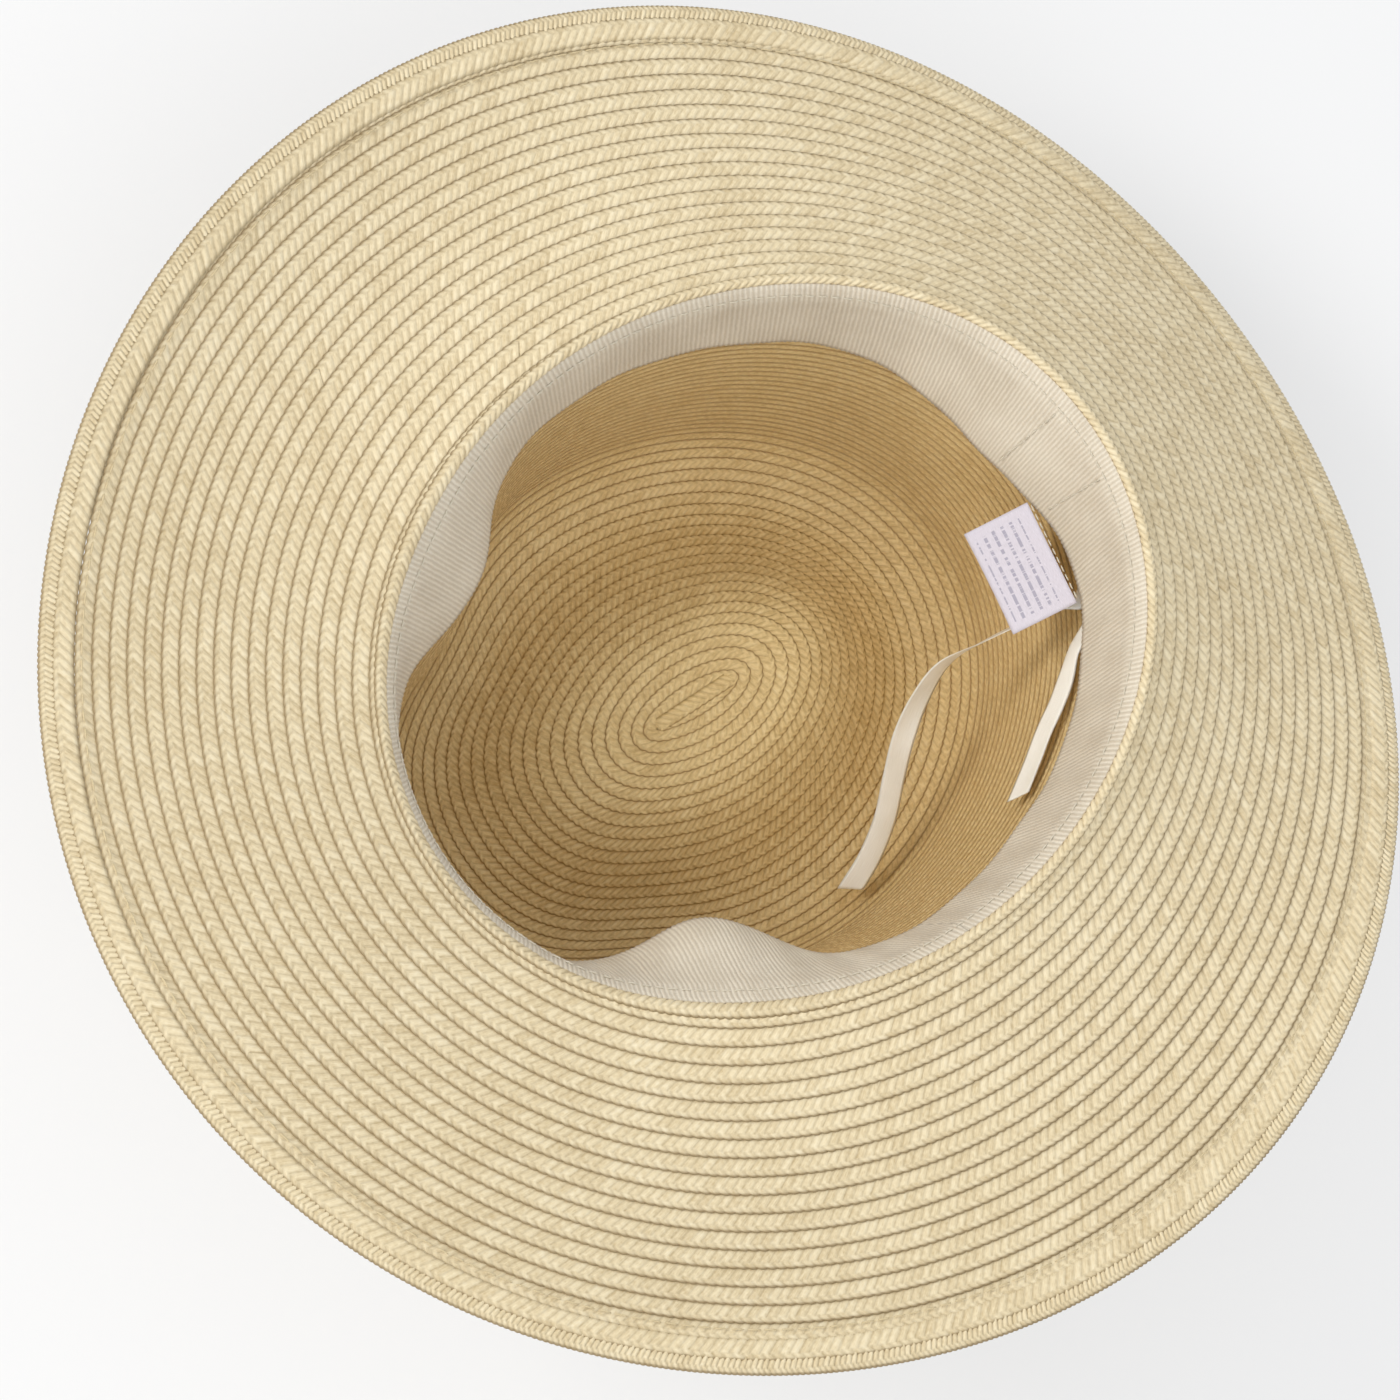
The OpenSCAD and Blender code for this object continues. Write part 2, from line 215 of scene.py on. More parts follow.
class Shader:
    """A small helper that adds nodes and links them."""

    def __init__(self, name):
        self.material, self.nodes, self.links = nodes_of(name)
        self.bsdf = self.add("ShaderNodeBsdfPrincipled")
        self.out = self.add("ShaderNodeOutputMaterial")
        self.link(self.bsdf.outputs[0], self.out.inputs[0])

    def add(self, kind, **values):
        n = self.nodes.new(kind)
        for k, x in values.items():
            setattr(n, k, x)
        return n

    def link(self, a, b):
        self.links.new(a, b)

    def math(self, op, a, b=0.5, c=None, clamp=False):
        n = self.add("ShaderNodeMath", operation=op, use_clamp=clamp)
        for i, x in enumerate((a, b, c)):
            if x is None:
                continue
            if isinstance(x, (int, float)):
                n.inputs[i].default_value = x
            else:
                self.link(x, n.inputs[i])
        return n.outputs[0]

    def attribute(self, name):
        return self.add("ShaderNodeAttribute", attribute_name=name)

    def scaled(self, vector, scale):
        n = self.add("ShaderNodeVectorMath", operation="MULTIPLY")
        self.link(vector, n.inputs[0])
        n.inputs[1].default_value = scale
        return n.outputs[0]

    def noise(self, vector, scale, detail=2, rough=0.5):
        n = self.add("ShaderNodeTexNoise")
        self.link(vector, n.inputs["Vector"])
        n.inputs["Scale"].default_value = scale
        n.inputs["Detail"].default_value = detail
        n.inputs["Roughness"].default_value = rough
        return n.outputs["Fac"]

    def place(self):
        return self.add("ShaderNodeTexCoord").outputs["Object"]

    def ramp(self, factor, stops):
        n = self.add("ShaderNodeValToRGB")
        e = n.color_ramp.elements
        while len(e) < len(stops):
            e.new(0.5)
        for i, (at, colour) in enumerate(stops):
            e[i].position = at
            e[i].color = (*colour, 1)
        self.link(factor, n.inputs[0])
        return n.outputs[0]

    def mix(self, factor, a, b, blend="MIX"):
        n = self.add("ShaderNodeMix", data_type="RGBA", blend_type=blend)
        for i, x in ((0, factor), (6, a), (7, b)):
            if isinstance(x, (int, float)):
                n.inputs[i].default_value = x
            elif isinstance(x, tuple):
                n.inputs[i].default_value = (*x, 1)
            else:
                self.link(x, n.inputs[i])
        return n.outputs[2]

    def bump(self, height, strength, distance):
        n = self.add("ShaderNodeBump")
        n.inputs["Strength"].default_value = strength
        n.inputs["Distance"].default_value = distance
        self.link(height, n.inputs["Height"])
        self.link(n.outputs[0], self.bsdf.inputs["Normal"])

    def finish(self, colour, rough=0.6, specular=0.4, sheen=0.0):
        self.link(colour, self.bsdf.inputs["Base Color"])
        if isinstance(rough, (int, float)):
            self.bsdf.inputs["Roughness"].default_value = rough
        else:
            self.link(rough, self.bsdf.inputs["Roughness"])
        self.bsdf.inputs["Specular IOR Level"].default_value = specular
        if sheen:
            self.bsdf.inputs["Sheen Weight"].default_value = sheen
            self.bsdf.inputs["Sheen Roughness"].default_value = 0.4
        return self.material


def straw_material(name, plaits, shadow, dark, mid, pale, outside=None):
    """Paper straw: each strand its own shade, with fine fibres along it, and painted shade in the shadow
    colour in the grooves between plaits and along the creases between rows.
    outside is what the colour is multiplied by on the hat's outer face, which takes off the warmth painted
    into the crown's colours for the light that bounces between its walls."""
    s = Shader(name)
    weave = s.attribute("weave").outputs["Vector"]
    strand = s.attribute("strand").outputs["Vector"]
    parts = s.add("ShaderNodeSeparateXYZ")
    s.link(strand, parts.inputs[0])
    shade, crest, crease_unshaded = parts.outputs
    outer = s.math("GREATER_THAN", shade, 1.5)          # the mesh adds 2 to the shade on the outer face
    shade = s.math("FRACT", shade)
    fibre = s.noise(s.scaled(weave, (9.0, 1.6, 1.0)), 1.0, 3, 0.6)
    blotch = s.noise(s.place(), 38.0, 2, 0.5)
    speck = s.noise(s.place(), 900.0, 1, 0.5)
    t = s.math("ADD", s.math("MULTIPLY", shade, 0.16), s.math("MULTIPLY", fibre, 0.6))
    t = s.math("ADD", t, s.math("MULTIPLY", s.math("SUBTRACT", blotch, 0.4), 0.18))
    t = s.math("ADD", t, s.math("MULTIPLY", s.math("SUBTRACT", speck, 0.5), 0.35))
    colour = s.ramp(t, ((0.12, dark), (0.46, mid), (0.82, pale)))
    if outside:
        colour = s.mix(outer, colour, s.mix(1.0, colour, outside, "MULTIPLY"))
    # painted shade: the colour is mixed toward shadow in the plait grooves, more where crest falls, and along
    # the creases between rows
    groove = s.math("MULTIPLY", s.math("MULTIPLY_ADD", crest, plaits, 1 - plaits), crease_unshaded)
    colour = s.mix(s.math("SUBTRACT", 1.0, groove), colour, shadow)
    height = s.math("ADD", s.math("MULTIPLY", fibre, 0.8), s.math("MULTIPLY", speck, 0.35))
    s.bump(height, 0.55, 0.00028)
    rough = s.math("MULTIPLY_ADD", fibre, 0.25, 0.42)
    return s.finish(colour, rough, 0.35)


def cloth_material(name, dark, pale, rib, slant, depth, rough=0.85, sheen=0.15, specular=0.2):
    """Cloth with ribs: rib is their spacing in mm and slant how far they lean."""
    s = Shader(name)
    weave = s.attribute("weave").outputs["Vector"]
    parts = s.add("ShaderNodeSeparateXYZ")
    s.link(weave, parts.inputs[0])
    wobble = s.noise(weave, 0.35, 2, 0.5)
    along = s.math("ADD", parts.outputs[0], s.math("MULTIPLY", parts.outputs[1], slant))
    along = s.math("ADD", along, s.math("MULTIPLY", wobble, rib * 0.5))
    wave = s.math("SINE", s.math("MULTIPLY", along, 2 * math.pi / rib))
    wave = s.math("MULTIPLY_ADD", wave, 0.5, 0.5)
    cross = s.math("SINE", s.math("MULTIPLY", parts.outputs[1], 2 * math.pi / (rib * 0.55)))
    cross = s.math("MULTIPLY_ADD", cross, 0.5, 0.5)
    fuzz = s.noise(s.place(), 1500.0, 2, 0.6)
    blotch = s.noise(s.place(), 60.0, 2, 0.5)
    t = s.math("ADD", s.math("MULTIPLY", wave, 0.45), s.math("MULTIPLY", blotch, 0.55))
    t = s.math("ADD", t, s.math("MULTIPLY", s.math("SUBTRACT", fuzz, 0.5), 0.3))
    colour = s.ramp(t, ((0.1, dark), (0.85, pale)))
    height = s.math("ADD", wave, s.math("ADD", s.math("MULTIPLY", cross, 0.3), s.math("MULTIPLY", fuzz, 0.5)))
    s.bump(height, 0.6, depth)
    return s.finish(colour, rough, specular, sheen)


def thread_material(name, dark, pale):
    """Twisted thread."""
    s = Shader(name)
    weave = s.attribute("weave").outputs["Vector"]
    parts = s.add("ShaderNodeSeparateXYZ")
    s.link(weave, parts.inputs[0])
    twist = s.math("ADD", parts.outputs[0], s.math("MULTIPLY", parts.outputs[1], 0.6))
    lay = s.math("SINE", s.math("MULTIPLY", twist, 16.0))
    fuzz = s.noise(s.place(), 2500.0, 2, 0.6)
    t = s.math("ADD", s.math("MULTIPLY_ADD", lay, 0.2, 0.3), s.math("MULTIPLY", fuzz, 0.5))
    s.bump(s.math("ADD", lay, fuzz), 0.5, 0.0001)
    return s.finish(s.ramp(t, ((0.2, dark), (0.8, pale))), 0.6, 0.3)


def satin_material(name, dark, pale, rough):
    """Satin: very fine lines along its length, with a soft gloss."""
    s = Shader(name)
    weave = s.attribute("weave").outputs["Vector"]
    lines = s.noise(s.scaled(weave, (0.25, 9.0, 1.0)), 1.0, 2, 0.5)
    weft = s.noise(s.scaled(weave, (7.0, 0.6, 1.0)), 1.0, 1, 0.5)
    blotch = s.noise(s.place(), 90.0, 1, 0.5)
    t = s.math("ADD", s.math("MULTIPLY", lines, 0.6), s.math("MULTIPLY", blotch, 0.5))
    s.bump(s.math("ADD", lines, s.math("MULTIPLY", weft, 0.6)), 0.35, 0.0001)
    return s.finish(s.ramp(t, ((0.25, dark), (0.8, pale))), rough, 0.5, 0.1)


PRINT_PITCH, PRINT_MARGIN = 2.5, 2.5        # of the label's rows of dashes, in mm


def label_material(name, dark, pale, ink):
    """Satin label cloth, with rows of small meaningless dashes where the real one is printed."""
    s = Shader(name)
    weave = s.attribute("weave").outputs["Vector"]
    parts = s.add("ShaderNodeSeparateXYZ")
    s.link(weave, parts.inputs[0])
    down, along = s.math("MULTIPLY", parts.outputs[0], -1.0), parts.outputs[1]
    row = s.math("DIVIDE", down, PRINT_PITCH)
    line = s.math("LESS_THAN", s.math("ABSOLUTE", s.math("SUBTRACT", s.math("FRACT", row), 0.5)), 0.17)
    spot = s.add("ShaderNodeCombineXYZ")
    s.link(s.math("MULTIPLY", along, 1.1), spot.inputs[0])
    s.link(s.math("MULTIPLY", s.math("FLOOR", row), 7.3), spot.inputs[1])
    dash = s.math("GREATER_THAN", s.noise(spot.outputs[0], 1.0, 3, 0.7), 0.46)
    from_middle = s.math("ABSOLUTE", s.math("SUBTRACT", down, LABEL_LEN / 2 + 1.0))
    inside = s.math("MULTIPLY", s.math("LESS_THAN", s.math("ABSOLUTE", along), LABEL_W / 2 - PRINT_MARGIN),
                    s.math("LESS_THAN", from_middle, 2.5 * PRINT_PITCH))
    printed = s.math("MULTIPLY", s.math("MULTIPLY", line, dash), inside)
    threads = s.noise(s.scaled(weave, (9.0, 0.8, 1.0)), 1.0, 2, 0.5)
    colour = s.mix(s.math("MULTIPLY", printed, 0.6), s.ramp(threads, ((0.25, dark), (0.8, pale))), ink)
    s.bump(threads, 0.35, 0.0001)
    return s.finish(colour, 0.5, 0.4, 0.1)


materials = {
    # painted light: the crown's colours are the same straw painted warmer and deeper than the brim's, for the
    # light bouncing between the crown's walls; outside takes its outer face back toward the brim's straw
    "straw_crown": straw_material(
        "straw_crown", 0.34, shadow=(0.37, 0.225, 0.085), dark=(0.56, 0.38, 0.15), mid=(0.82, 0.63, 0.315),
        pale=(0.92, 0.78, 0.47), outside=(0.93, 1.02, 1.3)),
    "straw_brim": straw_material(
        "straw_brim", 0.27, shadow=(0.19, 0.125, 0.05), dark=(0.56, 0.43, 0.235), mid=(0.785, 0.665, 0.44),
        pale=(0.88, 0.80, 0.61)),
    "straw_thread": thread_material("straw_thread", (0.55, 0.42, 0.22), (0.80, 0.68, 0.44)),
    "sweatband_cloth": cloth_material(
        "sweatband_cloth", (0.52, 0.44, 0.33), (0.76, 0.69, 0.57), rib=1.37, slant=0.18, depth=0.0002),
    "cream_thread": thread_material("cream_thread", (0.60, 0.53, 0.40), (0.84, 0.78, 0.65)),
    "satin_tape": satin_material("satin_tape", (0.74, 0.69, 0.59), (0.93, 0.90, 0.83), 0.32),
    "label_cloth": label_material(
        "label_cloth", (0.52, 0.48, 0.53), (0.68, 0.635, 0.70), ink=(0.20, 0.19, 0.27)),
    "ribbon": cloth_material(
        "ribbon", (0.045, 0.018, 0.008), (0.115, 0.052, 0.024), rib=1.0, slant=0.0, depth=0.00025,
        rough=0.62, sheen=0.2, specular=0.35),
}


# ---------------------------------------------------------------- mesh making
def add_mesh(name, points, quads, slot, body="hat", replaces=(), weave=None, strand=None, caps=()):
    """A smooth mesh from points in mm and quads, riding on its body, with what its material reads."""
    points = np.asarray(points, float).reshape(-1, 3)
    quads = np.asarray(quads, np.int64).reshape(-1, 4)
    me = bpy.data.meshes.new(name)
    me.vertices.add(len(points))
    me.vertices.foreach_set("co", (points * MM).astype(np.float32).ravel())
    sizes = [4] * len(quads) + [len(c) for c in caps]
    loops = np.concatenate([quads.ravel()] + [np.asarray(c, np.int64) for c in caps])
    me.loops.add(len(loops))
    me.loops.foreach_set("vertex_index", loops.astype(np.int32))
    me.polygons.add(len(sizes))
    starts = np.concatenate([[0], np.cumsum(sizes)[:-1]]).astype(np.int32)
    me.polygons.foreach_set("loop_start", starts)
    me.polygons.foreach_set("use_smooth", np.ones(len(sizes), bool))
    me.update(calc_edges=True)
    for key, values in (("weave", weave), ("strand", strand)):
        if values is not None:
            a = me.attributes.new(key, "FLOAT_VECTOR", "POINT")
            a.data.foreach_set("vector", np.asarray(values, np.float32).ravel())
    ob = bpy.data.objects.new(name, me)
    bpy.context.scene.collection.objects.link(ob)
    me.materials.append(materials[slot])
    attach(ob, body)
    if replaces:
        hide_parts(*replaces)
    return ob


def tube_quads(stations, around, loop=False):
    """Quads of a tube of rings. The last ring joins the first where loop is set."""
    i = np.arange(stations if loop else stations - 1)[:, None]
    j = np.arange(around)[None, :]
    k, l = (i + 1) % stations, (j + 1) % around
    return np.stack([i * around + j, i * around + l, k * around + l, k * around + j], -1).reshape(-1, 4)


def add_tube(name, rings, slot, loop=False, flip=False, **rest):
    """A tube through the rings, closed at both ends or joined into a loop."""
    n, m = rings.shape[:2]
    quads = tube_quads(n, m, loop)
    caps = () if loop else (list(range(m))[::-1], list(range((n - 1) * m, n * m)))
    if flip:
        quads = quads[:, ::-1]
        caps = tuple(c[::-1] for c in caps)
    return add_mesh(name, rings, quads, slot, caps=caps, **rest)


# ---------------------------------------------------------------- the tape's two free ends
def lengths(line):
    """How far along the line each of its points is."""
    return np.concatenate([[0], np.cumsum(np.linalg.norm(np.diff(line, axis=0), axis=1))])


def spline(points, per=12):
    """A smooth curve through the points."""
    p = np.asarray(points, float)
    p = np.vstack([2 * p[0] - p[1], p, 2 * p[-1] - p[-2]])
    out = []
    for i in range(1, len(p) - 2):
        for t in np.arange(per) / per:
            a, b, c, d = p[i - 1:i + 3]
            out.append(0.5 * (2 * b + (c - a) * t + (2 * a - 5 * b + 4 * c - d) * t * t
                              + (3 * b - a - 3 * c + d) * t ** 3))
    return np.array(out + [p[-2]])


LONG_ROUTE = [[29.5, 91.6, 85], [29.3, 91, 80], [28.7, 88.5, 76.5], [27.5, 84, 73], [26.5, 79, 68],
              [25, 71, 58], [24, 62, 47], [28, 54, 38], [34, 47, 31], [41, 41, 25], [49, 34, 20],
              [55, 26, 16], [59, 18, 13]]
LONG_FACE = [[1, 3, 0], [1, 3, 0], [2, 1, 0], [1, 0, 0], [1, 0, 0], [1, 0, 0], [1, 0, 0.6],
             [0.6, 0, 1], [0, 0, 1], [0, 0, 1], [0, 0, 1], [0, 0, 1], [0, 0, 1]]
SHORT_ROUTE = [[37.3, 87, 85], [37.1, 86.4, 79.5], [39, 82.3, 76.5], [44, 77, 74], [48, 72, 72],
               [52, 66, 70], [57, 59, 69], [62, 51, 69]]
SHORT_FACE = [[1, 2, 0], [1, 2, 0], [1, 1.4, -0.3], [0.7, 1, -0.6], [0.7, 1, -0.6], [1, 1, -0.8],
              [1, 1, -0.8], [1, 0.8, -0.8]]


TAIL_HALF_T = 0.16


def add_tail(name, node, route, face, cut):
    """A free end of the tape along its route, turned by the directions in face."""
    line, side_of = spline(route), spline(face)
    along = unit(np.gradient(line, axis=0))
    side = unit(np.cross(along, side_of))
    lift = unit(np.cross(side, along))
    run = lengths(line)
    across = np.concatenate([np.linspace(-1, 1, 9), np.linspace(1, -1, 9)[1:-1]])
    face_side = np.concatenate([np.ones(9), -np.ones(7)])
    ends = cut * np.maximum(0, run - run[-1] + TAPE_W) / TAPE_W     # the end is cut on the slant
    curl = 0.35 * np.sin(run / 9.0)
    height = (TAIL_HALF_T * face_side[None, :] * (1 - 0.5 * np.abs(across[None, :]) ** 6)
              + curl[:, None] * (across[None, :] ** 2 - 0.4))
    rings = (line[:, None] + along[:, None] * (ends[:, None] * across[None, :])[..., None]
             + side[:, None] * (across * TAPE_W / 2)[None, :, None] + lift[:, None] * height[..., None])
    weave = np.broadcast_arrays(run[:, None], across[None, :] * TAPE_W / 2, face_side[None, :] * 3.0)
    weave = np.stack(weave, -1)
    ob = add_tube(name, rings, "satin_tape", weave=weave, replaces=(node,))


add_tail("tape_end_long", "tape_tail_long", LONG_ROUTE, LONG_FACE, 1.6)
add_tail("tape_end_short", "tape_tail_short", SHORT_ROUTE, SHORT_FACE, -1.8)

# ---------------------------------------------------------------- braid
BEATS = np.array([0, 0.2, 0.5, 0.8])    # cross sections in each plait, from the groove on
LINE = 0.235                    # share of the braid's width where a row comes out from under its neighbour
BRIM_ROW = dict(plait=2.4, width=5.55, thick=1.15, slope=0.95, relief=0.26)
CROWN_ROW = dict(plait=2.1, width=3.95, thick=1.0, slope=0.75, relief=0.34)      # sewn closer on the crown
APEX = 0.78                     # where across the braid the plaits turn back
SHADES = 4096                   # how many strands go by before their shades repeat
rng = np.random.default_rng(7)
JITTER = rng.random(SHADES)

TOP = np.array([0, 0.2, LINE + 0.015, 0.30, 0.42, 0.56, 0.68, APEX, 0.88, 0.95, 1.0])
UNDER = np.array([0.92, 0.78, 0.72, 0.56, 0.4, 0.22, 0.1, 0.03])
ACROSS = np.concatenate([TOP, UNDER])
IS_TOP = np.concatenate([np.ones(len(TOP)), np.zeros(len(UNDER))])


def braid_section(beat, plait, width, thick, slope, relief, level=0.0, lean=1.0, line=LINE):
    """Cross sections of a row, at beat plaits along it.

    Gives each point's length along the row, its distance across from the row's outer line and its
    depth, and what the straw's material reads. The sections lean with the strands, so that a groove
    is one section. slope is how much deeper the inner edge lies, and relief how deep the grooves are.
    """
    w = ACROSS[None, :]
    beat = beat[:, None]
    lean_of = np.where(w < APEX, lean * (APEX - w) / 0.55, 0.5 * (w - APEX) / (1 - APEX))
    x = plait * (beat + lean_of)
    side = (w >= APEX).astype(int)
    phase = beat + 0.5 + 0.5 * side
    crest = np.abs(np.cos(np.pi * phase)) ** 0.6
    cell = (np.floor(phase + 0.5).astype(np.int64) * 2 + side) % SHADES
    shade = JITTER[cell]
    lens = np.sqrt(np.maximum(0, 1 - np.abs(2 * w - 1) ** 2.6))
    sign = np.where(IS_TOP > 0, -1.0, 1.0)[None, :]
    depth = level + thick / 2 + slope * (1 - w) + sign * lens * thick / 2
    w_seen = np.where(IS_TOP > 0, w, 1 - w)         # outside the hat the rows lap the other way
    seen = smooth((w_seen - line + 0.03) / 0.1)     # the hidden part is left full, so that no light gets by
    depth = depth - sign * lens * relief * (1 - crest) * seen + sign * 0.08 * (shade - 0.5) * lens * seen
    across = (w - 1) * width + 0.25 * (crest - 1) * (w > 0.93)
    # painted shade: this falls where a row comes out from under its neighbour and toward each row's outer
    # edge, darkening the straw as the crevices between rows would be shaded
    crease_unshaded = 1 - 0.2 * bell(w_seen - line, 0.06) - 0.8 * smooth((w_seen - 0.83) / 0.15)
    strand_id = np.floor(phase + 0.5) * 0.37 + side * 5.1 + (1 - IS_TOP) * 9
    weave = np.stack([phase, w * 2.2 + 0 * phase, strand_id], -1)
    strand = np.stack([shade + 2 * (1 - IS_TOP), crest, crease_unshaded + 0 * crest], -1)
    return x, across, depth, weave, strand


def beats(count):
    """Where the sections of this many plaits are."""
    return (np.arange(count)[:, None] + BEATS[None, :]).ravel()


STEPS_A_TURN = 720
NEAREST = 0.3           # the spiral keeps this far from the line in the middle of the tip
EDGE_LAP = 1.5          # how far the brim's last row goes in under the row around the edge


def add_spiral(name, slot, q0, q1, start, angle, row, node):
    """Braid sewn in a spiral while its outer line goes from q0 to q1, each turn lapped over the next.
    start is the spiral's own first line, which is at that angle."""
    pitch = row["width"] * (1 - LINE)
    line = np.linspace(q0 - pitch, q1 + pitch, int((q1 - q0 + 2 * pitch) / pitch * STEPS_A_TURN))
    mid = straw(angle + 360 * (line - start) / pitch, np.maximum(line - pitch / 2, NEAREST))
    run = lengths(mid)
    r0, r1 = np.interp([q0, q1], line, run)
    count = max(1, round((r1 - r0) / row["plait"]))
    x, across, depth, weave, strand = braid_section(np.append(beats(count), count),
                                                    **{**row, "plait": (r1 - r0) / count})
    outer = np.interp(r0 + x, run, line)
    q = np.clip(outer + across, NEAREST, TIP_S + BRIM_W - EDGE_W + EDGE_LAP)
    rings = straw_off(angle + 360 * (outer - start) / pitch, q, depth)
    return add_tube(name, rings, slot, weave=weave, strand=strand, replaces=(node,))


CROWN_PITCH, BRIM_PITCH = (row["width"] * (1 - LINE) for row in (CROWN_ROW, BRIM_ROW))
FIRST, START_ANGLE = 3.0, 270.0
CHANGE = TIP_S - 9.0                        # the brim's wider rows start behind the sweatband
CHANGE_ANGLE = START_ANGLE + 360 * (CHANGE - FIRST) / CROWN_PITCH
BRIM_FIRST = CHANGE + BRIM_PITCH - 0.3
TIP_END, BRIM_END = TIP_S - RIDGE_S, TIP_S + BRIM_W - EDGE_W + BRIM_PITCH
spirals = [("straw_tip", "straw_crown", FIRST, TIP_END, 3, FIRST, START_ANGLE, CROWN_ROW, "crown_tip"),
           ("straw_side", "straw_crown", TIP_END, CHANGE, 9, FIRST, START_ANGLE, CROWN_ROW, "crown_side"),
           ("straw_brim", "straw_brim", BRIM_FIRST, BRIM_END, 6, BRIM_FIRST, CHANGE_ANGLE, BRIM_ROW, "brim")]
for name, slot, q0, q1, count, start, angle, row, node in spirals:
    cuts = np.sqrt(np.linspace(q0 ** 2, q1 ** 2, count + 1))        # pieces with about as many strands each
    for i in range(count):
        add_spiral(f"{name}_{i + 1}", slot, cuts[i], cuts[i + 1], start, angle, row, node)

# The straight start of the braid, in the middle of the tip
CORE_PLAITS, CORE_END = 14, 14.0
x, across, depth, weave, strand = braid_section(beats(CORE_PLAITS), level=-0.1, line=-1,
                                                **{**CROWN_ROW, "slope": 0.0})
y = CORE_END - x
depth = depth + 1.1 * smooth((np.abs(y) - 10.5) / 2.5)       # its ends go down under the first turn
y = CENTRE_Y + y
tip_z = crown(np.array([0.0]), np.array([TIP_S - 2.0]))[0, 2]
rings = np.stack([CENTRE_X + across + CROWN_ROW["width"] / 2, y, tip_z - depth], -1)
add_tube("straw_core", rings, "straw_crown", weave=weave, strand=strand, flip=True, replaces=("crown_tip",))


# ---------------------------------------------------------------- rows around the opening and the edge
def add_edge(name, inner, outer, plait, node="brim_edge", **shape):
    """One closed row, from inner to outer, in mm from the brim line."""
    th = np.linspace(0, 360, 2881)
    mid = brim(th, np.full_like(th, (inner + outer) / 2))
    run = lengths(mid)
    count = round(run[-1] / plait)
    x, across, depth, weave, strand = braid_section(beats(count), plait=run[-1] / count, width=outer - inner,
                                                    line=-1, **shape)
    angle = np.interp(x % run[-1], run, th)
    rings = straw_off(angle, TIP_S + outer + across, depth)
    return add_tube(name, rings, "straw_brim", loop=True, weave=weave, strand=strand, replaces=(node,))


add_edge("straw_mouth", -3.0, 2.8, 2.0, "brim", level=-0.5, thick=1.7, slope=0.1, relief=0.4)
add_edge("straw_edge_inner", BRIM_W - EDGE_W, BRIM_W - 3.2, BRIM_ROW["plait"],
         level=-0.35, thick=1.3, slope=0.35, relief=0.32)
add_edge("straw_edge_rim", BRIM_W - 5.2, BRIM_W, 1.35,
         level=-0.1, lean=0.9, relief=0.42, thick=2.0, slope=0.1)


# ---------------------------------------------------------------- sweatband
def add_wrap(name, slot, point, s0, s1, near, far, node, steps=12, a0=None, a1=None, count=720, wrinkle=None):
    """Cloth that follows the crown's side: from s0 to s1, between depths near and far, all round or
    from angle a0 to a1."""
    loop = a0 is None
    th = np.arange(count) * 360 / count if loop else np.linspace(a0, a1, count)
    s = np.concatenate([np.linspace(s0, s1, steps + 1), np.linspace(s1, s0, steps + 1)])
    d = np.concatenate([np.full(steps + 1, near), np.full(steps + 1, far)])
    tt, ss = np.meshgrid(th, s, indexing="ij")
    dd = np.broadcast_to(d, tt.shape)
    if wrinkle is not None:
        dd = dd + wrinkle(tt, ss)
    rings = point(tt, ss, dd)
    weave = np.stack([np.radians(tt) * OPEN_A, ss, dd * 0 + (dd > near) * 4.0], -1)
    return add_tube(name, rings, slot, loop=loop, weave=weave, replaces=(node,))


RIBS = 400              # ribs around the sweatband, which lean a little
BAND_TOP = 2.2          # the sweatband starts this far below the brim line


def band_waves(th, s):
    """Slack in the sweatband's free edge, and the ribs of its cloth."""
    slack = smooth((s - 8) / 26)
    waves = slack * (0.22 * np.sin(np.radians(th * 11 + 40)) + 0.16 * np.sin(np.radians(th * 23 + s * 3)))
    return waves + 0.1 * np.cos(np.radians((th + s * 0.12) * RIBS))


band = add_wrap("sweatband_tape", "sweatband_cloth", band_off, BAND_TOP, BAND_W, -BAND_T, -0.35, "sweatband",
                steps=18, count=4 * RIBS, wrinkle=band_waves)
HEM_IN = 2
TAPE_START, TAPE_END = 68, 56 + 360         # angles between which the tape is inside its hem
add_wrap("size_tape", "satin_tape", band_off, BAND_W - TAPE_W - HEM_IN, BAND_W - HEM_IN,
         BAND_ROOM - TAPE_T - GAP, BAND_ROOM - GAP, "tape_run", steps=2, a0=TAPE_START, a1=TAPE_END,
         count=360)


# ---------------------------------------------------------------- stitches
def add_stitches(name, slot, frames, length, radius, node):
    """Short threads: frames are (middle, direction, up) triples in mm."""
    k = np.linspace(0, 1, 7)
    a = np.arange(6) / 6 * 2 * np.pi
    points, quads, weave, caps = [], [], [], []
    for i, (mid, along, up_) in enumerate(frames):
        side = np.cross(along, up_)
        arch = radius * 0.9 * np.sin(np.pi * k) ** 0.6
        base = mid + along * ((k - 0.5) * length)[:, None] + up_ * arch[:, None]
        fat = radius * (0.55 + 0.45 * np.sin(np.pi * k) ** 0.5)
        circle = side * np.cos(a)[:, None] + up_ * np.sin(a)[:, None]
        ring = base[:, None] + fat[:, None, None] * circle[None]
        start = i * ring.shape[0] * 6
        points.append(ring.reshape(-1, 3))
        quads.append(tube_quads(7, 6) + start)
        caps += [[start + 5 - j for j in range(6)], [start + 36 + j for j in range(6)]]
        lay = np.broadcast_arrays(k[:, None] * length + i * 3.3, a[None, :], 0.0)
        weave.append(np.stack(lay, -1).reshape(-1, 3))
    return add_mesh(name, np.concatenate(points), np.concatenate(quads), slot, weave=np.concatenate(weave),
                    caps=caps, replaces=(node,))


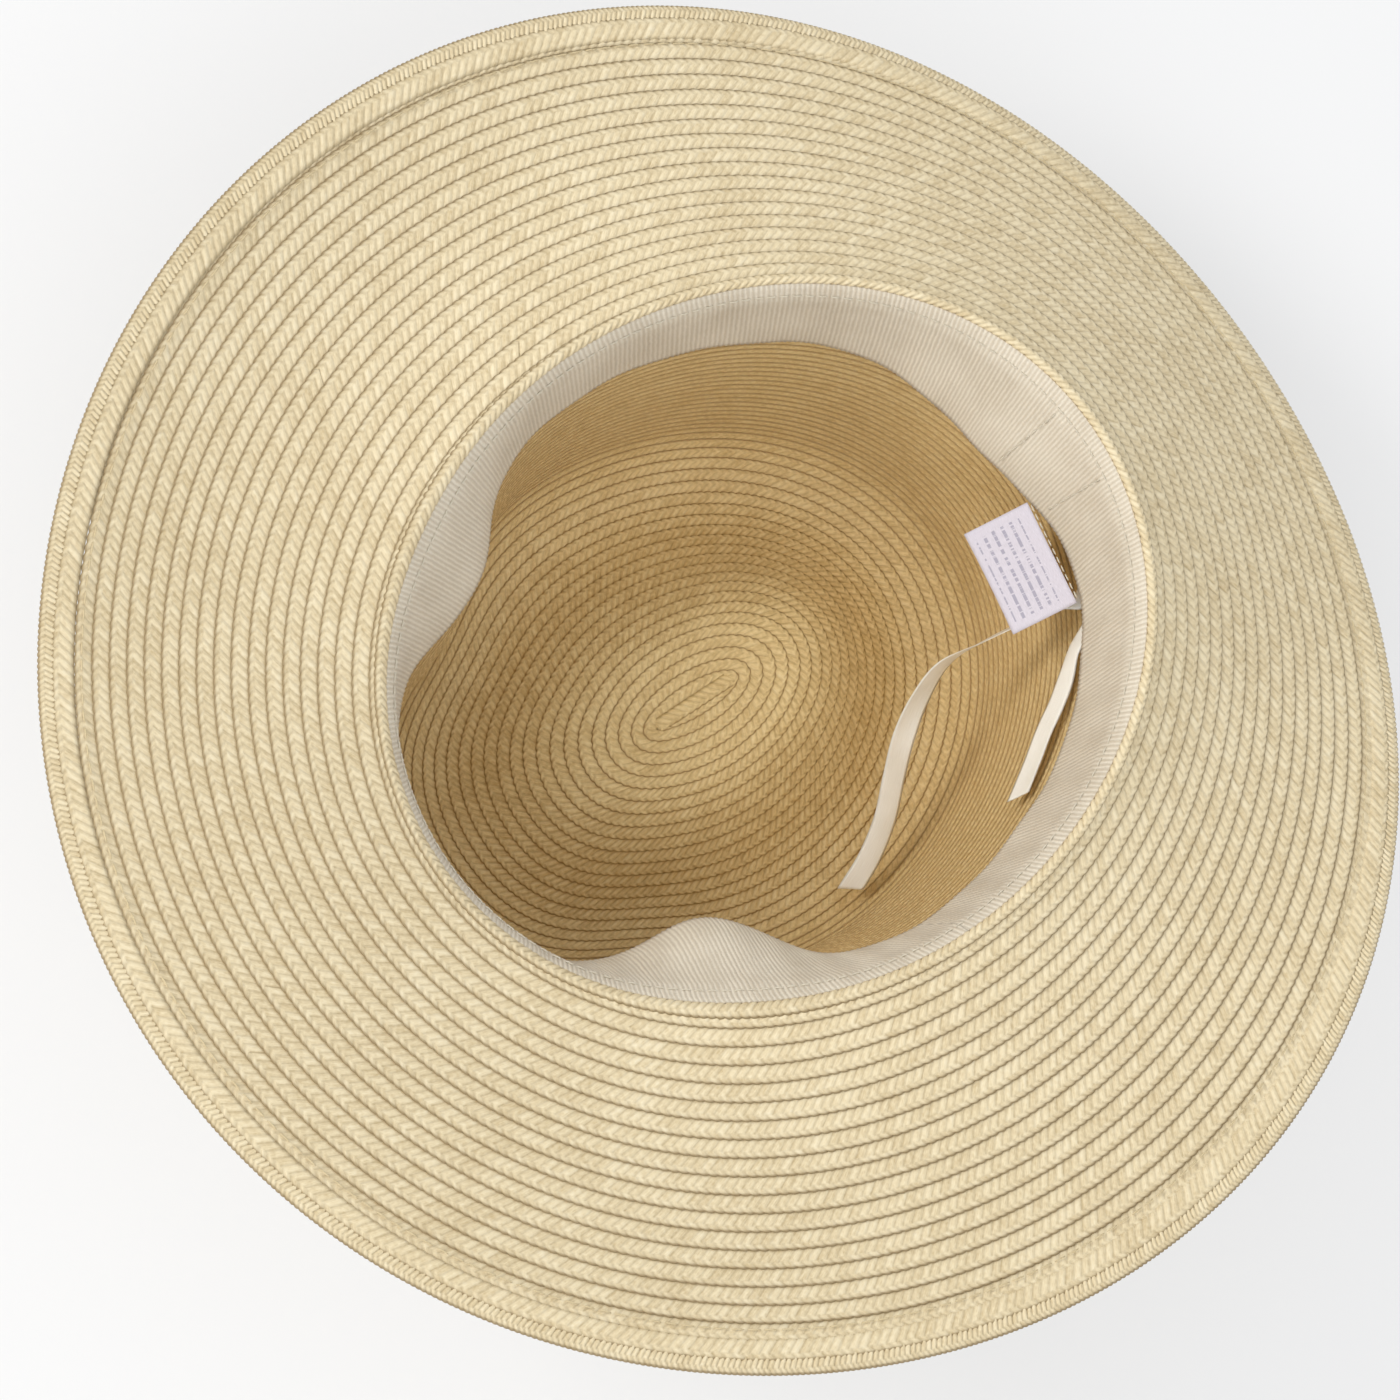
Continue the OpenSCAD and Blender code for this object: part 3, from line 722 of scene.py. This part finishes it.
def along_ring(point, s, d, step):
    """Frames at equal steps around a ring of a surface, with up standing away from the straw."""
    th = np.arange(7200) / 20
    ring = point(th, np.full_like(th, s), np.full_like(th, d))
    run = lengths(np.concatenate([ring, ring[:1]]))
    count = round(run[-1] / step)
    at = np.interp(np.arange(count) * run[-1] / count, run, np.append(th, 360))
    ss, dd = np.full_like(at, s), np.full_like(at, d)
    mid = point(at, ss, dd)
    along = unit(point(at + 0.2, ss, dd) - point(at - 0.2, ss, dd))
    up_ = unit(point(at, ss, dd - 1.0) - mid)
    return list(zip(mid, along, up_))


def brim_point(th, s, d):
    """A point on the brim at distance s out from the brim line."""
    return straw_off(th, TIP_S + s, d)


ON_TOP = 0.1            # how far threads lie above the cloth
EDGE_SEAM_IN, BAND_SEAM_AT = 1.5, 5.6
SEAM_ANGLES = (BACK - 8, BACK + 6)
add_stitches("edge_thread", "straw_thread",
             along_ring(brim_point, BRIM_W - EDGE_W - EDGE_SEAM_IN, -0.05, 4.0), 3.0, 0.22, "edge_stitching")
add_stitches("sweatband_thread", "cream_thread", along_ring(band_off, BAND_SEAM_AT, -BAND_T - ON_TOP, 3.2),
             2.4, 0.2, "sweatband_stitching")
seams = []
for a in SEAM_ANGLES:
    s = np.arange(8, BAND_W - 4, 2.6)
    th = np.full_like(s, a + 0.2)
    d = np.full_like(s, -BAND_T - ON_TOP)
    mid = band_off(th, s, d)
    along = unit(band_off(th, s + 0.5, d) - band_off(th, s - 0.5, d))
    seams += list(zip(mid, along, unit(band_off(th, s, d - 1) - mid)))
add_stitches("sweatband_seam_thread", "cream_thread", seams, 2.0, 0.2, "sweatband_seam")

# ---------------------------------------------------------------- care label, on its own body
LABEL_CLEAR = 2.1       # room for the label to turn in front of the sweatband
label_root = band_off(np.array([float(LABEL_AT)]), np.array([BAND_W - 1.0]), np.array([-BAND_T]))[0] \
    + np.array([0, -LABEL_T - 2 * GAP - THREAD - LABEL_CLEAR, 0])


def on_label(p):
    """Points of the flat label, in mm from the middle of its sewn side, moved to where it hangs."""
    t, z = math.radians(LABEL_TILT), math.radians(LABEL_TURN)
    p = np.asarray(p, float)
    x, y, h = p[..., 0], p[..., 1], p[..., 2]
    y, h = y * math.cos(t) - h * math.sin(t), y * math.sin(t) + h * math.cos(t)
    x, y = x * math.cos(z) - y * math.sin(z), x * math.sin(z) + y * math.cos(z)
    return np.stack([x, y, h], -1) + label_root


def add_label():
    """The label, curled up at its two free corners."""
    n, m = 28, 20
    gx = np.linspace(-LABEL_W / 2, LABEL_W / 2, n)
    gy = np.linspace(0, -LABEL_LEN, m)
    gy = np.concatenate([gy, gy[::-1]])
    side = np.concatenate([np.full(m, 1.0), np.full(m, -1.0)])
    xx, yy = np.meshgrid(gx, gy, indexing="ij")
    corners = 0.9 * np.abs(xx / (LABEL_W / 2)) ** 2.5 * smooth(-yy / LABEL_LEN)
    bow = corners - 0.45 * np.sin(np.pi * -yy / LABEL_LEN)
    zz = bow + side[None, :] * 0.12
    rings = on_label(np.stack([xx, yy, zz], -1))
    weave = np.stack([yy, xx, zz * 0 + side[None, :]], -1)
    return add_tube("care_label_cloth", rings, "label_cloth", body="label", weave=weave,
                    replaces=("care_label",))


label = add_label()
frames = []
for x in np.arange(-LABEL_W / 2 + 2, LABEL_W / 2 - 1, 2.4):
    a, b, c = on_label([[x, 0.6, 0.1], [x + 1, 0.6, 0.1], [x, 0.6, 1.1]])
    frames.append((a, unit(b - a), unit(c - a)))
add_stitches("label_thread", "cream_thread", frames, 1.8, 0.18, "label_stitching")

# ---------------------------------------------------------------- hatband and bow
RIBBON_AT = 7           # the ribbon starts this far below the brim line
RIBBON_OUT = BRAID_T + GAP + RIBBON_T
RIBBON_MID = RIBBON_AT + RIBBON_W / 2
hatband = add_wrap("hatband_ribbon", "ribbon", crown_off, RIBBON_AT, RIBBON_AT + RIBBON_W, BRAID_T + GAP,
                   RIBBON_OUT, "hatband")


def around(mm):
    """The angle that a length around the hat's side takes up."""
    return math.degrees(mm / OPEN_A)


reach = around(BOW_LEN / 2 - 6)
lap = add_wrap("hatband_lap", "ribbon", crown_off, RIBBON_AT, RIBBON_AT + RIBBON_W, RIBBON_OUT + GAP,
               RIBBON_OUT + GAP + RIBBON_T, "hatband_overlap", a0=LEFT - reach, a1=LEFT + reach, count=40)

BOW_IN = RIBBON_OUT + 2 * GAP + RIBBON_T
BOW_T = 2.4 * RIBBON_T


def add_bow():
    """The bow's two flat loops, as one padded strip that is narrow and folded in the middle."""
    half = around(BOW_LEN / 2)
    n, m = 97, 20
    a = np.linspace(-1, 1, n)
    t = np.linspace(-1, 1, m)
    t = np.concatenate([t, t[::-1]])
    side = np.concatenate([np.full(m, -1.0), np.full(m, 1.0)])
    aa, tt = np.meshgrid(a, t, indexing="ij")
    tall = RIBBON_W / 2 * (0.72 + 0.26 * smooth(np.abs(aa) * 1.4))
    s = RIBBON_MID - tt * tall
    puff = np.sqrt(np.maximum(0, 1 - np.abs(aa) ** 8)) * smooth(np.abs(aa) * 3)
    folds = 0.22 * np.cos(tt * 9) * (1 - smooth(np.abs(aa) * 1.6))
    mid = BOW_IN + BOW_T / 2
    d = mid + side[None, :] * (0.45 + (BOW_T / 2 - 0.45) * puff) + folds
    rings = crown_off(LEFT + half * aa, s, d)
    weave = np.stack([np.radians(half * aa) * OPEN_A, s, 0 * s + side[None, :]], -1)
    ob = add_tube("bow_ribbon", rings, "ribbon", weave=weave, flip=True, replaces=("bow_loops",))


add_bow()
half = around(KNOT_W / 2)
from_d = BOW_IN + BOW_T + GAP


def knot_folds(th, s):
    """Pleats along the knot."""
    return 0.25 * np.cos((th - LEFT) / half * 7) - 0.25


KNOT_REACH = RIBBON_W * 0.42
knot = add_wrap("bow_knot_ribbon", "ribbon", crown_off, RIBBON_MID - KNOT_REACH, RIBBON_MID + KNOT_REACH,
                from_d + 0.1, from_d + 1.6 * RIBBON_T, "bow_knot", a0=LEFT - half, a1=LEFT + half, count=30,
                wrinkle=knot_folds)
TACK_ANGLES, TACK_ROWS = (20, 65, 115, 245, 295, 340), (10.0, 5 + RIBBON_W)
tacks = []
for a in TACK_ANGLES:
    for s in TACK_ROWS:
        one = np.array([a + 1.0])
        p = crown_off(one, np.array([s]), np.array([RIBBON_OUT + ON_TOP]))[0]
        q = crown_off(one + 0.5, np.array([s]), np.array([RIBBON_OUT + ON_TOP]))[0]
        w = crown_off(one, np.array([s]), np.array([RIBBON_OUT + 1 + ON_TOP]))[0]
        tacks.append((p, unit(q - p), unit(w - p)))
add_stitches("hatband_tack_thread", "ribbon", tacks, 2.6, 0.25, "hatband_tacks")

# ---------------------------------------------------------------- floor and light
floor_shader, fn, fl = nodes_of("floor")
lit = fn.new("ShaderNodeBsdfDiffuse")
lit.inputs[0].default_value = (0.80, 0.80, 0.80, 1)
glow = fn.new("ShaderNodeEmission")
glow.inputs[0].default_value = (0.93, 0.93, 0.935, 1)
path = fn.new("ShaderNodeLightPath")
share = fn.new("ShaderNodeMath")
share.operation = "MULTIPLY"
share.inputs[1].default_value = 0.55
mixed = fn.new("ShaderNodeMixShader")
output = fn.new("ShaderNodeOutputMaterial")
fl.new(path.outputs["Is Camera Ray"], share.inputs[0])
fl.new(share.outputs[0], mixed.inputs[0])
fl.new(lit.outputs[0], mixed.inputs[1])
fl.new(glow.outputs[0], mixed.inputs[2])
fl.new(mixed.outputs[0], output.inputs[0])
bpy.ops.mesh.primitive_plane_add(size=6, location=(0, 0, -0.0001))
floor = bpy.context.object
floor.name = "floor"
floor.data.materials.append(floor_shader)

world = bpy.data.worlds.new("studio")
bpy.context.scene.world = world
world.use_nodes = True
world.node_tree.nodes["Background"].inputs[0].default_value = (0.96, 0.98, 1.0, 1)
world.node_tree.nodes["Background"].inputs[1].default_value = 0.83


LIT_POINT = Vector((0, 0, 0.08))


def add_light(name, where, size, power, colour):
    """A soft round lamp that points at the hat."""
    data = bpy.data.lights.new(name, "AREA")
    data.shape = "DISK"
    data.size = size
    data.energy = power
    data.color = colour
    ob = bpy.data.objects.new(name, data)
    bpy.context.scene.collection.objects.link(ob)
    ob.location = where
    ob.rotation_mode = "QUATERNION"
    ob.rotation_quaternion = (Vector(where) - LIT_POINT).to_track_quat("Z", "Y")


add_light("key", (-0.95, -0.9, 1.15), 0.7, 13, (1.0, 0.985, 0.96))
add_light("fill", (0.7, -0.75, 1.4), 1.2, 8, (1.0, 1.0, 1.0))
bpy.context.scene.view_settings.view_transform = "Standard"
